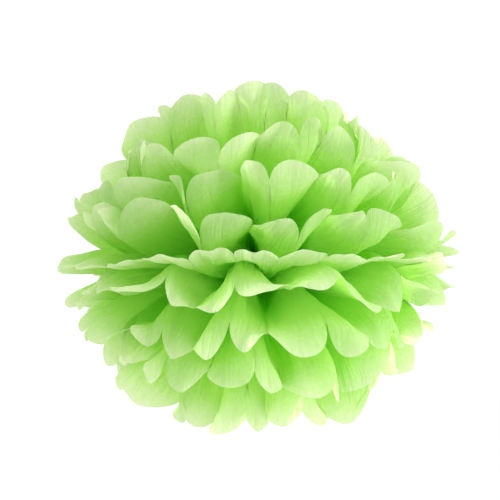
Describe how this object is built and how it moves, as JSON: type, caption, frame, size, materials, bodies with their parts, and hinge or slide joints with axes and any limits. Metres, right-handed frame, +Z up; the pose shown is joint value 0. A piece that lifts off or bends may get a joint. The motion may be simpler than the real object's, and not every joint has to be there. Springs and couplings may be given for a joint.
{
  "type": "tissue paper pom pom",
  "caption": "Ball of pleated tissue paper sheets gathered in a wire tie, hung by the tie as a party decoration.",
  "frame": {"origin": "middle of the wire tie at the centre of the ball, where the ball hangs", "axes": "+Z up along the twisted wire; +Y along the pleats at the tie, towards the back; +X towards the right-hand side, where the two half fans meet"},
  "size_m": [0.3379, 0.3498, 0.2909],
  "materials": {
    "tissue": "matt, thin and translucent, dyed lime green",
    "tie_wire": "green paper-covered wire"
  },
  "bodies": {
    "root": {"sheet_1": "tissue", "sheet_2": "tissue", "sheet_3": "tissue", "sheet_4": "tissue", "sheet_5": "tissue", "sheet_6": "tissue", "sheet_7": "tissue", "sheet_8": "tissue", "sheet_9": "tissue", "wire_tie": "tie_wire"}
  },
  "joints": []
}
